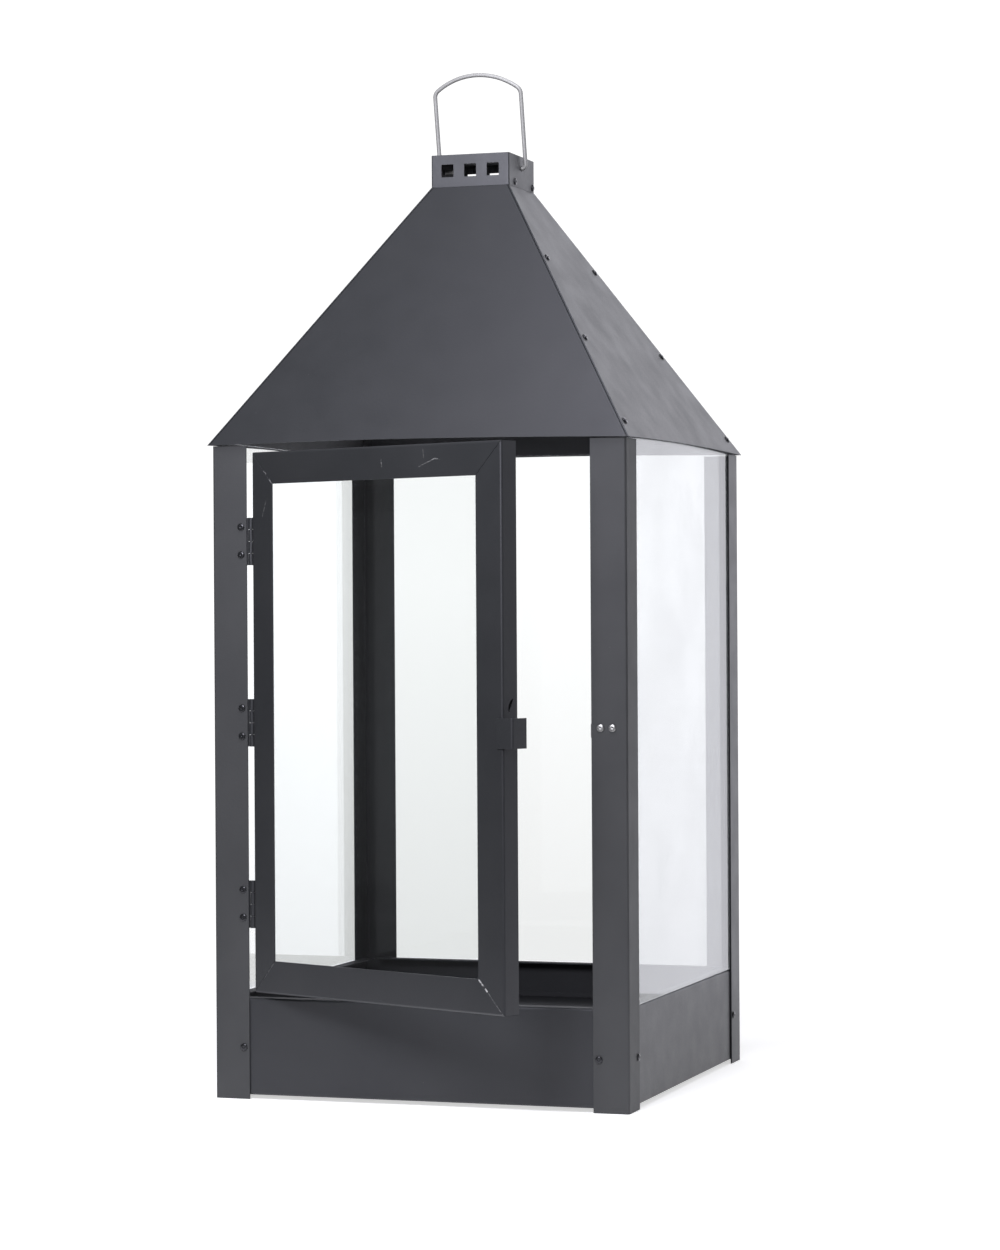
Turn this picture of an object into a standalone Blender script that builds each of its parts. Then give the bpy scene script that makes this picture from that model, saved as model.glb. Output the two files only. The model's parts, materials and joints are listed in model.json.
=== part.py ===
"""Glazed garden lantern with a hinged door, a pyramid roof, a vented chimney cap and a wire bail.

Metres, +Z up, the front face looks along -Y.  The lantern stands on z = 0.  X = 0 is the middle of the
square body, and Y = 0 is the middle of the footprint that the body and its door, standing ajar, take up.
"""

import math

import bmesh
import bpy
from mathutils import Matrix, Vector

# Driving dimensions, metres and degrees.
BODY = 0.350                # outside width and depth over the corner posts
SHEET = 0.0012              # steel sheet thickness
GAP = 0.0003                # clearance left between two touching pieces
CAP_SEAT = 0.00005          # the same, where the chimney cap sits on the roof
BEND = 0.0020               # outside radius of a folded corner
POST_LEG = 0.0296           # width of each leg of a corner post
EAVE_HEIGHT = 0.5304        # height of the roof's lower corners
EAVE_OVERHANG = 0.0033      # how far the eaves pass the posts
POST_TOP = 0.5299           # the posts end just under the eaves
EAVE_RISE = 0.0022          # how far an eave bows up in its middle
ROOF_TOP_HEIGHT = 0.7500    # where the roof meets the chimney cap
CHIMNEY = 0.0688            # outside width and depth of the chimney cap
CHIMNEY_TOP = 0.7771
SKIRT_BOTTOM = 0.0033
SKIRT_TOP = 0.0818
SKIRT_LIP = 0.0120          # depth of the skirt's folded top lip
SKIRT_FOOT = 0.0080         # depth of its folded foot
SKIRT_FROM_CORNER = 0.0150  # how far a skirt stops short of the body's corners
TRAY_HEIGHT = 0.0510        # upper face of the floor tray
TRAY_RIM = 0.0040
PANE = 0.0030               # glass thickness
PANE_TOP = 0.5335
DOOR_BOTTOM = 0.0866
DOOR_TOP = 0.5243
DOOR_WIDTH = 0.2707
DOOR_DEPTH = 0.0167         # depth of the door frame's folded edge
DOOR_STILE_HINGE = 0.0232
DOOR_STILE_LATCH = 0.0266
DOOR_RAIL_TOP = 0.0261
DOOR_RAIL_BOTTOM = 0.0268
DOOR_AJAR = 23.4            # degrees from closed at rest
HINGE_X = -0.1420
HINGE_BEHIND_FACE = 0.0015  # the hinge pin lies this far behind the front face
HINGE_TO_DOOR = 0.0024
HINGE_HEIGHTS = (0.1580, 0.3052, 0.4522)
HINGE_LENGTH = 0.0388
BARREL_RADIUS = 0.0022
PIN_RADIUS = 0.0012
PIN_CLEARANCE = 0.0003
LEAF = 0.0011               # hinge leaf thickness
LATCH_HEIGHT = 0.3015
LATCH_LENGTH = 0.0232
LATCH_REACH = 0.0109        # how far the latch plate passes the door's free edge
LATCH_LAP = 0.0051          # how far it laps onto the door's face
LATCH_DEPTH = 0.0165
GLASS_INSET = 0.0060        # how far the door's glass stops short of the door's outer edges
GLASS_STRIP_WIDTH = 0.0120
GLASS_STRIP_END = 0.0100    # how far the strips stop short of the door's ends
SLOT_ABOVE_LATCH = 0.0190   # the crescent slot in the free stile
SLOT_BEHIND_FACE = 0.0140
SLOT_OUTER_RADIUS = 0.0075
SLOT_INNER_RADIUS = 0.0068
SLOT_WIDTH = 0.0037         # at the crescent's middle
SLOT_START = 105            # degrees
SLOT_SWEEP = 100
POST_LEAF_WIDTH = 0.0160
DOOR_LEAF_WIDTH = 0.0145
DOOR_LEAF_OFFSET = 0.0010   # from the pin's axis to the leaf's near face
CATCH_HEIGHT = 0.3000
CATCH_WIDTH = 0.0110
CATCH_SHEET = 0.0006
CATCH_FAR_END = 0.1680
CATCH_NOSE_REACH = 0.0022   # how far the nose stands past the post's edge
CATCH_RIVET_PLACES = (0.1530, 0.1628)
CATCH_RIVET_HEIGHT = 0.3024
BAIL_PIVOT_HEIGHT = 0.7670
BAIL_LEAN = 11.5            # degrees forward of upright at rest
BAIL_HALF_WIDTH = 0.0380
BAIL_RISE = 0.0800
BAIL_CROWN_RADIUS = 0.0593
BAIL_SHOULDER_RADIUS = 0.0070
BAIL_HOOK_RADIUS = 0.0036
BAIL_WIRE_RADIUS = 0.00175
BAIL_HOLE_RADIUS = 0.0023
BAIL_END_INSIDE = 0.0085    # how far the wire's ends reach in past the cap's outer faces
CAP_FOLD = 0.0015           # corner radius of the chimney cap
VENT_HOLE = 0.0106
VENT_PITCH = 0.0200
VENT_HEIGHT = 0.7637
RIVET_HEAD_RADIUS = 0.0030
RIVET_HEAD_HEIGHT = 0.0012
RIVET_SHANK_RADIUS = 0.0015
RIVET_HOLE_RADIUS = 0.0018
RIVET_TAIL_RADIUS = 0.0022
RIVET_TAIL_LENGTH = 0.0012
RIVET_SIDES = 12
BASE_RIVET_HEIGHT = 0.0420
BASE_RIVET_FROM_CORNER = 0.0248
ROOF_RIVET_SHARES = (0.30, 0.62, 0.94)   # places down the slope, as shares of its length
ROOF_RIVET_FROM_HIP = 0.0095
ROOF_FLANGE = 0.0180
ROOF_FLANGE_TRIM = 0.0135   # how much shorter the flange's free edge is at the eave

HALF = BODY / 2
FRONT = -HALF
EAVE_HALF = HALF + EAVE_OVERHANG
CHIMNEY_HALF = CHIMNEY / 2
ROOF_RUN = EAVE_HALF - CHIMNEY_HALF
ROOF_DROP = ROOF_TOP_HEIGHT - EAVE_HEIGHT
ROOF_SLANT = math.hypot(ROOF_RUN, ROOF_DROP)
ROOF_LEVEL_SHEET = SHEET * ROOF_SLANT / ROOF_DROP    # the sheet measured level through its slope
HINGE_Y = FRONT + HINGE_BEHIND_FACE
AJAR = math.radians(DOOR_AJAR)
INSIDE_POST = HALF - SHEET - GAP                     # outer face of what sits just behind a post leg


def footprint_middle():
    """Y of the middle between the back eave and the latch corner of the door standing ajar."""
    reach = HINGE_TO_DOOR + DOOR_WIDTH + LATCH_REACH - BEND
    proud = HINGE_BEHIND_FACE + GAP + SHEET - BEND
    front_most = HINGE_Y - (reach * math.sin(AJAR) + proud * math.cos(AJAR) + BEND)
    return (EAVE_HALF + front_most) / 2


def clear_scene():
    for old in list(bpy.data.objects):
        bpy.data.objects.remove(old, do_unlink=True)


def material(name, colour, roughness, metallic, alpha=1.0):
    made = bpy.data.materials.new(name)
    made.use_nodes = True
    shader = made.node_tree.nodes["Principled BSDF"]
    shader.inputs["Base Color"].default_value = (*colour, 1.0)
    shader.inputs["Roughness"].default_value = roughness
    shader.inputs["Metallic"].default_value = metallic
    shader.inputs["Alpha"].default_value = alpha
    made.diffuse_color = (*colour, alpha)
    return made


def add_object(name, build, finish, parent):
    """One object from a finished bmesh, in the coordinates of its parent."""
    bmesh.ops.recalc_face_normals(build, faces=build.faces)
    mesh = bpy.data.meshes.new(name)
    build.to_mesh(mesh)
    build.free()
    mesh.materials.append(finish)
    mesh.shade_smooth()
    mesh.set_sharp_from_angle(angle=math.radians(35))
    made = bpy.data.objects.new(name, mesh)
    bpy.context.scene.collection.objects.link(made)
    made.parent = parent
    return made


def add_box(build, low, high):
    """A closed box between two opposite corners."""
    low, high = Vector(low), Vector(high)
    place = Matrix.Translation((low + high) / 2) @ Matrix.Diagonal((*(high - low), 1.0))
    bmesh.ops.create_cube(build, size=1.0, matrix=place)


def box_bmesh(low, high):
    build = bmesh.new()
    add_box(build, low, high)
    return build


def add_strip(build, stations):
    """A closed sheet.  A station is (outer points, inner points), and the sheet runs through all stations."""
    rows = []
    for outer, inner in stations:
        rows.append(([build.verts.new(p) for p in outer], [build.verts.new(p) for p in inner]))
    count = len(rows[0][0])
    for (outer_a, inner_a), (outer_b, inner_b) in zip(rows, rows[1:]):
        for side_a, side_b in ((outer_a, outer_b), (inner_a, inner_b)):
            for j in range(count - 1):
                build.faces.new((side_a[j], side_a[j + 1], side_b[j + 1], side_b[j]))
        for j in (0, count - 1):
            build.faces.new((outer_a[j], outer_b[j], inner_b[j], inner_a[j]))
    for outer, inner in (rows[0], rows[-1]):
        for j in range(count - 1):
            build.faces.new((outer[j], outer[j + 1], inner[j + 1], inner[j]))


def folded(corners, thickness, radius=BEND, steps=4):
    """Outer and inner outlines of a sheet folded along 2-D corners, the inside being on its left."""
    outer, inner = [], []
    points = [Vector(c) for c in corners]
    for i, point in enumerate(points):
        if i in (0, len(points) - 1):
            along = (points[1] - point) if i == 0 else (point - points[-2])
            inward = Vector((-along.y, along.x)).normalized()
            outer.append(point)
            inner.append(point + inward * thickness)
            continue
        before = (point - points[i - 1]).normalized()
        after = (points[i + 1] - point).normalized()
        turn = math.atan2(before.x * after.y - before.y * after.x, before.dot(after))
        into_before = Vector((-before.y, before.x))
        trim = radius * math.tan(abs(turn) / 2)
        centre = point - before * trim + into_before * radius * math.copysign(1, turn)
        for step in range(steps + 1):
            angle = turn * step / steps
            spoke = -into_before * math.copysign(1, turn)
            spoke.rotate(Matrix.Rotation(angle, 2))
            outside_of_fold = turn > 0
            outer_radius = radius if outside_of_fold else radius - thickness
            inner_radius = radius - thickness if outside_of_fold else radius
            outer.append(centre + spoke * outer_radius)
            inner.append(centre + spoke * inner_radius)
    return outer, inner


def extruded(outline, place_start, place_end):
    """Stations at both ends of a straight extrusion; each place turns a 2-D point into a 3-D one."""
    outer, inner = outline
    return [([place(p) for p in outer], [place(p) for p in inner]) for place in (place_start, place_end)]


def turned(profile, sides):
    """A solid of revolution about Z from (radius, height) points that start and end on the axis."""
    build = bmesh.new()
    rings = []
    for radius, height in profile:
        if radius == 0:
            rings.append([build.verts.new((0, 0, height))])
            continue
        ring = []
        for k in range(sides):
            angle = 2 * math.pi * k / sides
            ring.append(build.verts.new((radius * math.cos(angle), radius * math.sin(angle), height)))
        rings.append(ring)
    for a, b in zip(rings, rings[1:]):
        for k in range(sides):
            n = (k + 1) % sides
            if len(a) == 1:
                build.faces.new((a[0], b[k], b[n]))
            elif len(b) == 1:
                build.faces.new((a[k], a[n], b[0]))
            else:
                build.faces.new((a[k], a[n], b[n], b[k]))
    return build


def add_cylinder(build, start, end, radius, sides):
    """A closed cylinder between two points."""
    start, end = Vector(start), Vector(end)
    along = end - start
    turn = along.to_track_quat("Z", "Y").to_matrix().to_4x4()
    place = Matrix.Translation((start + end) / 2) @ turn
    bmesh.ops.create_cone(
        build, cap_ends=True, segments=sides, radius1=radius, radius2=radius, depth=along.length, matrix=place
    )


def combine(target, tool_mesh, operation, parent):
    """Adds an exact Boolean to the target, whose hidden tool is made from a bmesh."""
    tool = add_object(f"{target.name}_{operation.lower()}_tool", tool_mesh, target.data.materials[0], parent)
    tool.hide_render = True
    tool.display_type = "WIRE"
    cut = target.modifiers.new(operation.title(), "BOOLEAN")
    cut.operation = operation
    cut.solver = "EXACT"
    cut.object = tool


# Corner posts, skirts and tray -------------------------------------------------------------------

def rivet_axes():
    """(point on the body's outer face, outward direction) of the eight rivets through posts and skirts."""
    reach = HALF - BASE_RIVET_FROM_CORNER
    axes = []
    for turn in range(4):
        spin = Matrix.Rotation(turn * math.pi / 2, 3, "Z")
        for side in (-1, 1):
            axes.append((spin @ Vector((side * reach, FRONT, BASE_RIVET_HEIGHT)), spin @ Vector((0, -1, 0))))
    return axes


def rivet_hole_tool(axes):
    """Cylinders along rivet axes that pass through every sheet on them."""
    build = bmesh.new()
    for point, outward in axes:
        add_cylinder(build, point + outward * 0.004, point - outward * 0.008, RIVET_HOLE_RADIUS, RIVET_SIDES)
    return build


def on_corner(axes, sx, sy):
    """The axes whose points lie on the corner of those signs."""
    return [a for a in axes if a[0].x * sx > 0 and a[0].y * sy > 0]


def make_posts(finish, parent):
    names = {(-1, -1): "post_front_left", (1, -1): "post_front_right",
             (-1, 1): "post_back_left", (1, 1): "post_back_right"}
    for (sx, sy), name in names.items():
        # Fold the angle at the origin corner, then mirror it to its place on the body.
        corners = [(0, POST_LEG), (0, 0), (POST_LEG, 0)]
        outline = folded(corners, SHEET)
        stations = []
        for height in (0.0, POST_TOP):
            stations.append(tuple(
                [Vector((sx * (HALF - p.x), sy * (HALF - p.y), height)) for p in side] for side in outline
            ))
        build = bmesh.new()
        add_strip(build, stations)
        post = add_object(name, build, finish, parent)
        holes = on_corner(rivet_axes(), sx, sy)
        if name == "post_front_right":
            holes += catch_rivet_axes()
        combine(post, rivet_hole_tool(holes), "DIFFERENCE", parent)


def make_skirts(finish, parent):
    """Skirts behind the post legs; each is folded in along its top and at its foot."""
    half_length = HALF - SKIRT_FROM_CORNER
    corners = [
        (SKIRT_LIP, SKIRT_TOP), (0, SKIRT_TOP), (0, SKIRT_BOTTOM), (SKIRT_FOOT, SKIRT_BOTTOM)
    ]
    outline = folded(corners, SHEET)
    for turn, name in enumerate(("skirt_front", "skirt_right", "skirt_back", "skirt_left")):
        spin = Matrix.Rotation(turn * math.pi / 2, 3, "Z")

        def place(end):
            return lambda p: spin @ Vector((end * half_length, -INSIDE_POST + p.x, p.y))

        build = bmesh.new()
        add_strip(build, extruded(outline, place(-1), place(1)))
        skirt = add_object(name, build, finish, parent)
        holes = [a for a in rivet_axes() if (spin @ Vector((0, -1, 0))).dot(a[1]) > 0.9]
        combine(skirt, rivet_hole_tool(holes), "DIFFERENCE", parent)


def make_tray(finish, parent):
    """A shallow floor tray with a turned-up rim, inside the skirts."""
    half = INSIDE_POST - SHEET - GAP
    build = box_bmesh((-half, -half, TRAY_HEIGHT - SHEET), (half, half, TRAY_HEIGHT + TRAY_RIM))
    tray = add_object("floor_tray", build, finish, parent)
    inside = half - SHEET
    tool = box_bmesh((-inside, -inside, TRAY_HEIGHT), (inside, inside, TRAY_HEIGHT + 2 * TRAY_RIM))
    combine(tray, tool, "DIFFERENCE", parent)


def make_panes(finish, parent):
    """Three fixed panes behind the post legs, standing on the skirts' lips."""
    outer = INSIDE_POST
    inner = outer - PANE
    reach = inner - GAP * 2
    bottom = SKIRT_TOP + GAP
    boxes = {
        "pane_left": ((-outer, -reach, bottom), (-inner, reach, PANE_TOP)),
        "pane_right": ((inner, -reach, bottom), (outer, reach, PANE_TOP)),
        "pane_back": ((-reach, inner, bottom), (reach, outer, PANE_TOP)),
    }
    for name, (low, high) in boxes.items():
        add_object(name, box_bmesh(low, high), finish, parent)


# Roof, chimney cap and bail ----------------------------------------------------------------------

def roof_half(height):
    """Half the roof's outside width at a height."""
    return CHIMNEY_HALF + (ROOF_TOP_HEIGHT - height) * ROOF_RUN / ROOF_DROP


def eave_height(share):
    """Height of the bowed eave; share runs from -1 to 1 along it."""
    return EAVE_HEIGHT + EAVE_RISE * (1 - share * share)


def roof_stations(inset, flange, spin, steps=10):
    """Top and bottom stations of one sheet: inset leaves room for its neighbours, flange folds under them."""
    thick = ROOF_LEVEL_SHEET
    stations = []
    for at_eave in (False, True):
        outer, inner = [], []

        def add(across, inner_across, back, inner_back, height):
            half = roof_half(height)
            outer.append(spin @ Vector((across(half), -half + back, height)))
            inner.append(spin @ Vector((inner_across(half), -half + inner_back, height)))

        def add_flange(side):
            height = EAVE_HEIGHT + ROOF_FLANGE_TRIM if at_eave else ROOF_TOP_HEIGHT - CAP_SEAT
            add(lambda h: side * (h - inset), lambda h: side * (h - inset - thick), flange, flange, height)

        if flange:
            add_flange(-1)
        for k in range(steps + 1):
            share = -1 + 2 * k / steps
            height = eave_height(share) if at_eave else ROOF_TOP_HEIGHT - CAP_SEAT
            narrower = thick if flange else 0.0
            add(lambda h: share * (h - inset), lambda h: share * (h - inset - narrower), 0.0, thick, height)
        if flange:
            add_flange(1)
        stations.append((outer, inner))
    return stations


def roof_rivet_axes(side):
    """Axes of the six rivets on the right (1) or left (-1) roof sheet."""
    outward = Vector((side * ROOF_DROP, 0, ROOF_RUN)).normalized()
    axes = []
    for share in ROOF_RIVET_SHARES:
        height = ROOF_TOP_HEIGHT - share * ROOF_DROP
        half = roof_half(height)
        for end in (-1, 1):
            axes.append((Vector((side * half, end * (half - ROOF_RIVET_FROM_HIP), height)), outward))
    return axes


def make_roof(finish, parent):
    tuck = ROOF_LEVEL_SHEET + GAP * 1.5
    sheets = (("roof_front", 0, tuck, ROOF_FLANGE), ("roof_right", 1, 0.0, 0.0),
              ("roof_back", 2, tuck, ROOF_FLANGE), ("roof_left", 3, 0.0, 0.0))
    for name, turn, inset, flange in sheets:
        spin = Matrix.Rotation(turn * math.pi / 2, 3, "Z")
        build = bmesh.new()
        add_strip(build, roof_stations(inset, flange, spin))
        sheet = add_object(name, build, finish, parent)
        if flange:
            facing = -1 if turn == 0 else 1
            holes = [a for side in (-1, 1) for a in roof_rivet_axes(side) if a[0].y * facing > 0]
        else:
            holes = roof_rivet_axes(1 if turn == 1 else -1)
        combine(sheet, rivet_hole_tool(holes), "DIFFERENCE", parent)


def make_chimney(finish, parent):
    """A folded cap, closed on top and open below, with three square vents front and back."""
    half = CHIMNEY_HALF
    build = box_bmesh((-half, -half, ROOF_TOP_HEIGHT), (half, half, CHIMNEY_TOP))
    upright = [e for e in build.edges if abs(e.verts[0].co.z - e.verts[1].co.z) > 0.01]
    bmesh.ops.bevel(build, geom=upright, offset=CAP_FOLD, segments=3, affect="EDGES", profile=0.5)
    cap = add_object("chimney_cap", build, finish, parent)
    inside = half - SHEET
    tool = box_bmesh((-inside, -inside, ROOF_TOP_HEIGHT - 0.01), (inside, inside, CHIMNEY_TOP - SHEET))
    combine(cap, tool, "DIFFERENCE", parent)
    vents = bmesh.new()
    reach = VENT_HOLE / 2
    for k in (-1, 0, 1):
        middle = k * VENT_PITCH
        add_box(vents, (middle - reach, -half - 0.01, VENT_HEIGHT - reach),
                (middle + reach, half + 0.01, VENT_HEIGHT + reach))
    combine(cap, vents, "DIFFERENCE", parent)
    eyes = bmesh.new()
    add_cylinder(eyes, (-half - 0.01, 0, BAIL_PIVOT_HEIGHT), (half + 0.01, 0, BAIL_PIVOT_HEIGHT),
                 BAIL_HOLE_RADIUS, 16)
    combine(cap, eyes, "DIFFERENCE", parent)


def arc_points(centre, radius, start, end, steps):
    """Points on an arc in the bail's own plane, angles in radians."""
    points = []
    for k in range(steps + 1):
        angle = start + (end - start) * k / steps
        points.append((centre[0] + radius * math.cos(angle), centre[1] + radius * math.sin(angle)))
    return points


def bail_route():
    """The wire's centre line as (across, up) from its pivot, from the right hook to the left one."""
    hook_centre = (BAIL_HALF_WIDTH - BAIL_HOOK_RADIUS, BAIL_HOOK_RADIUS)
    crown_centre = (0.0, BAIL_RISE - BAIL_CROWN_RADIUS)
    across = BAIL_HALF_WIDTH - BAIL_SHOULDER_RADIUS
    rise = math.sqrt((BAIL_CROWN_RADIUS - BAIL_SHOULDER_RADIUS) ** 2 - across ** 2)
    shoulder_centre = (across, crown_centre[1] + rise)
    lean = math.atan2(rise, across)
    right = [(CHIMNEY_HALF - BAIL_END_INSIDE, 0.0)]
    right += arc_points(hook_centre, BAIL_HOOK_RADIUS, -math.pi / 2, 0.0, 5)
    right += arc_points(shoulder_centre, BAIL_SHOULDER_RADIUS, 0.0, lean, 5)
    right += arc_points(crown_centre, BAIL_CROWN_RADIUS, lean, math.pi / 2, 8)[1:-1]
    left = [(-x, z) for x, z in reversed(right)]
    return right + [(0.0, BAIL_RISE)] + left


def make_bail(finish, pivot):
    curve = bpy.data.curves.new("bail_handle", "CURVE")
    curve.dimensions = "3D"
    curve.bevel_depth = BAIL_WIRE_RADIUS
    curve.bevel_resolution = 2
    curve.use_fill_caps = True
    route = bail_route()
    spline = curve.splines.new("POLY")
    spline.points.add(len(route) - 1)
    for point, (across, up) in zip(spline.points, route):
        point.co = (across, 0.0, up, 1.0)
    curve.materials.append(finish)
    bail = bpy.data.objects.new("bail_handle", curve)
    bpy.context.scene.collection.objects.link(bail)
    bail.parent = pivot


# Door, hinges, latch and catch ------------------------------------------------------------------

def door_place(along, behind, height):
    """A point of the closed door, relative to the hinge pin's axis."""
    return Vector((HINGE_TO_DOOR + along, -HINGE_BEHIND_FACE + behind, height))


def make_door_frame(finish, pivot):
    """Four mitred members, each an angle with its flange along the door's outer edge."""
    seam = GAP * 0.75    # half the open seam at each mitre
    members = {
        "door_stile_hinge": (DOOR_STILE_HINGE, DOOR_RAIL_BOTTOM, DOOR_RAIL_TOP),
        "door_stile_latch": (DOOR_STILE_LATCH, DOOR_RAIL_BOTTOM, DOOR_RAIL_TOP),
        "door_rail_bottom": (DOOR_RAIL_BOTTOM, DOOR_STILE_HINGE, DOOR_STILE_LATCH),
        "door_rail_top": (DOOR_RAIL_TOP, DOOR_STILE_HINGE, DOOR_STILE_LATCH),
    }
    frame = {}
    for name, (width, start_width, end_width) in members.items():
        # The section runs from the flange's back edge, round the fold, to the opening.
        outline = folded([(0, DOOR_DEPTH), (0, 0), (width, 0)], SHEET)

        def mitre(inward, start):
            ratio = (start_width if start else end_width) / width
            return max(inward, 0.0) * ratio + seam

        def place(start):
            def at(p):
                inward, behind = p.x, p.y
                if name == "door_stile_hinge":
                    height = DOOR_BOTTOM + mitre(inward, True) if start else DOOR_TOP - mitre(inward, False)
                    return door_place(inward, behind, height)
                if name == "door_stile_latch":
                    height = DOOR_BOTTOM + mitre(inward, True) if start else DOOR_TOP - mitre(inward, False)
                    return door_place(DOOR_WIDTH - inward, behind, height)
                along = mitre(inward, True) if start else DOOR_WIDTH - mitre(inward, False)
                height = DOOR_BOTTOM + inward if name == "door_rail_bottom" else DOOR_TOP - inward
                return door_place(along, behind, height)
            return at

        build = bmesh.new()
        add_strip(build, extruded(outline, place(True), place(False)))
        frame[name] = add_object(name, build, finish, pivot)
    combine(frame["door_stile_latch"], crescent_tool(), "DIFFERENCE", pivot)


def crescent_tool():
    """A short crescent slot through the free stile's flange, just above the latch."""
    height = LATCH_HEIGHT + SLOT_ABOVE_LATCH
    swell = SLOT_WIDTH - (SLOT_OUTER_RADIUS - SLOT_INNER_RADIUS)
    steps = 8
    outer_arc, inner_arc = [], []
    for k in range(steps + 1):
        angle = math.radians(SLOT_START + SLOT_SWEEP * k / steps)
        reach = SLOT_INNER_RADIUS * math.cos(angle) + swell * math.sin(math.pi * k / steps)
        outer_arc.append((SLOT_BEHIND_FACE + SLOT_OUTER_RADIUS * math.cos(angle),
                          height + SLOT_OUTER_RADIUS * math.sin(angle)))
        inner_arc.append((SLOT_BEHIND_FACE + reach, height + SLOT_INNER_RADIUS * math.sin(angle)))
    build = bmesh.new()
    stations = []
    for along in (DOOR_WIDTH - 0.006, DOOR_WIDTH + 0.004):
        stations.append((
            [door_place(along, y, z) for y, z in outer_arc],
            [door_place(along, y, z) for y, z in inner_arc],
        ))
    add_strip(build, stations)
    return build


def make_door_glass(glass, steel, pivot):
    """The pane lies behind the frame's faces, held by two strips inside the stiles."""
    front = SHEET + GAP
    low = door_place(GLASS_INSET, front, DOOR_BOTTOM + GLASS_INSET)
    high = door_place(DOOR_WIDTH - GLASS_INSET, front + PANE, DOOR_TOP - GLASS_INSET)
    add_object("door_glass", box_bmesh(low, high), glass, pivot)
    back = front + PANE + GAP
    deepest = DOOR_DEPTH - BEND
    near_edge, far_edge = SHEET + GAP, DOOR_WIDTH - SHEET - GAP
    # Each strip's outline has the glass on its right: it lies on the glass, then turns back along the flange.
    sections = {
        "glass_strip_hinge_side":
            [(near_edge, deepest), (near_edge, back), (near_edge + GLASS_STRIP_WIDTH, back)],
        "glass_strip_latch_side":
            [(far_edge - GLASS_STRIP_WIDTH, back), (far_edge, back), (far_edge, deepest)],
    }
    for name, corners in sections.items():
        outline = folded(corners, SHEET)

        def place(height):
            return lambda p: door_place(p.x, p.y, height)

        build = bmesh.new()
        add_strip(build, extruded(
            outline, place(DOOR_BOTTOM + GLASS_STRIP_END), place(DOOR_TOP - GLASS_STRIP_END)
        ))
        add_object(name, build, steel, pivot)


def knuckle_spans(middle):
    """(low, high) of the four knuckles of one hinge, from the top down."""
    length = HINGE_LENGTH / 4
    top = middle + HINGE_LENGTH / 2
    return [(top - (k + 1) * length + GAP / 2, top - k * length - GAP / 2) for k in range(4)]


def leaf_bmesh(width, offset, spans, middle):
    """A leaf that runs along +X from the pin, its near face offset from the axis, without its barrel."""
    overlap = 0.0005
    clear = BARREL_RADIUS + overlap
    build = box_bmesh(
        (clear, offset, middle - HINGE_LENGTH / 2 + GAP / 2),
        (width, offset + LEAF, middle + HINGE_LENGTH / 2 - GAP / 2),
    )
    tab_start = PIN_RADIUS + PIN_CLEARANCE + overlap / 5
    tabs = bmesh.new()
    for low, high in spans:
        add_box(tabs, (tab_start, offset, low), (clear + overlap, offset + LEAF, high))
    return build, tabs


def make_hinges(finish, steel, root, pivot):
    """Butt hinges: one leaf behind the post's front leg, one on the door frame's flange, and a pin."""
    hole = PIN_RADIUS + PIN_CLEARANCE
    axis = Vector((HINGE_X, HINGE_Y, 0))
    mirrored = Matrix.Translation(axis) @ Matrix.Scale(-1, 4, (1, 0, 0))
    quarter_turn = Matrix.Rotation(math.pi / 2, 4, "Z")
    for label, middle in zip(("bottom", "middle", "top"), HINGE_HEIGHTS):
        spans = knuckle_spans(middle)
        # The post's leaf runs from the pin along -X, the door's leaf along +Y.
        sides = (
            ("post", spans[0::2], mirrored, POST_LEAF_WIDTH, 0.0, root),
            ("door", spans[1::2], quarter_turn, DOOR_LEAF_WIDTH, -LEAF - DOOR_LEAF_OFFSET, pivot),
        )
        for who, own, place, width, offset, parent in sides:
            build, tabs = leaf_bmesh(width, offset, own, middle)
            barrel = bmesh.new()
            for low, high in own:
                add_cylinder(barrel, (0, 0, low), (0, 0, high), BARREL_RADIUS, 16)
            bore = bmesh.new()
            add_cylinder(bore, (0, 0, middle - HINGE_LENGTH), (0, 0, middle + HINGE_LENGTH), hole, 16)
            for part in (build, tabs, barrel, bore):
                bmesh.ops.transform(part, matrix=place, verts=part.verts)
            leaf = add_object(f"hinge_{label}_{who}_leaf", build, finish, parent)
            combine(leaf, tabs, "UNION", parent)
            combine(leaf, barrel, "UNION", parent)
            combine(leaf, bore, "DIFFERENCE", parent)
        pin = bmesh.new()
        reach = HINGE_LENGTH / 2 - GAP
        add_cylinder(pin, (*axis.xy, middle - reach), (*axis.xy, middle + reach), PIN_RADIUS, 12)
        add_object(f"hinge_{label}_pin", pin, steel, root)


def make_latch(finish, pivot):
    """A bent plate that laps onto the door's face, passes its free edge and turns back beside the post."""
    far = DOOR_WIDTH + LATCH_REACH
    front = -GAP - SHEET
    corners = [(DOOR_WIDTH - LATCH_LAP, front), (far, front), (far, front + LATCH_DEPTH)]
    outline = folded(corners, SHEET)

    def place(height):
        return lambda p: door_place(p.x, p.y, height)

    build = bmesh.new()
    low, high = LATCH_HEIGHT - LATCH_LENGTH / 2, LATCH_HEIGHT + LATCH_LENGTH / 2
    add_strip(build, extruded(outline, place(low), place(high)))
    add_object("latch_plate", build, finish, pivot)


def catch_rivet_axes():
    """The two rivets that hold the catch behind the front right post's leg."""
    return [(Vector((x, FRONT, CATCH_RIVET_HEIGHT)), Vector((0, -1, 0))) for x in CATCH_RIVET_PLACES]


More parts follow.
